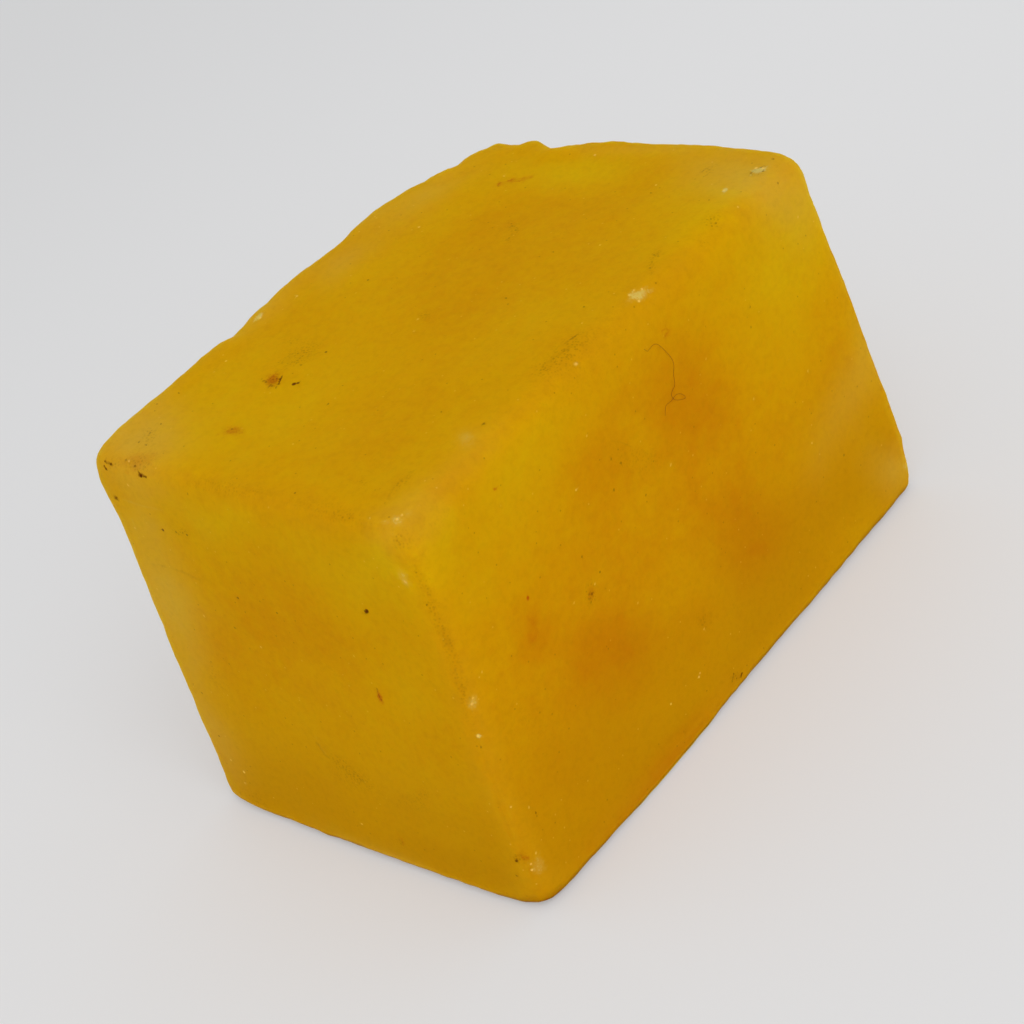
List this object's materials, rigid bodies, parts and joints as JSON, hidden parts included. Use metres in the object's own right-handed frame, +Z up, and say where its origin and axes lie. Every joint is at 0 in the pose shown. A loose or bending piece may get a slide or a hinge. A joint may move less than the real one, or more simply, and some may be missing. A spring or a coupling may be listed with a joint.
{
  "type": "rough sapphire",
  "caption": "Nearly rectangular lump of waxy, milky yellow rough stone with flat faces, soft worn edges and a broken corner, resting on its flat base.",
  "frame": {"origin": "middle of the bounding box's lowest face, on the plane that the stone rests on", "axes": "+Z up out of the flat base; +X along the long side; -Y is the long face beside the rubbed ridge; the broken corner is at the top towards +X and +Y"},
  "size_m": [0.0374, 0.0254, 0.0238],
  "materials": {
    "stone": "waxy, milky translucent yellow to orange-yellow with a soft satin skin",
    "lint": "fine dark reddish-brown fibre"
  },
  "bodies": {
    "root": {"sapphire": "stone"}
  },
  "joints": []
}
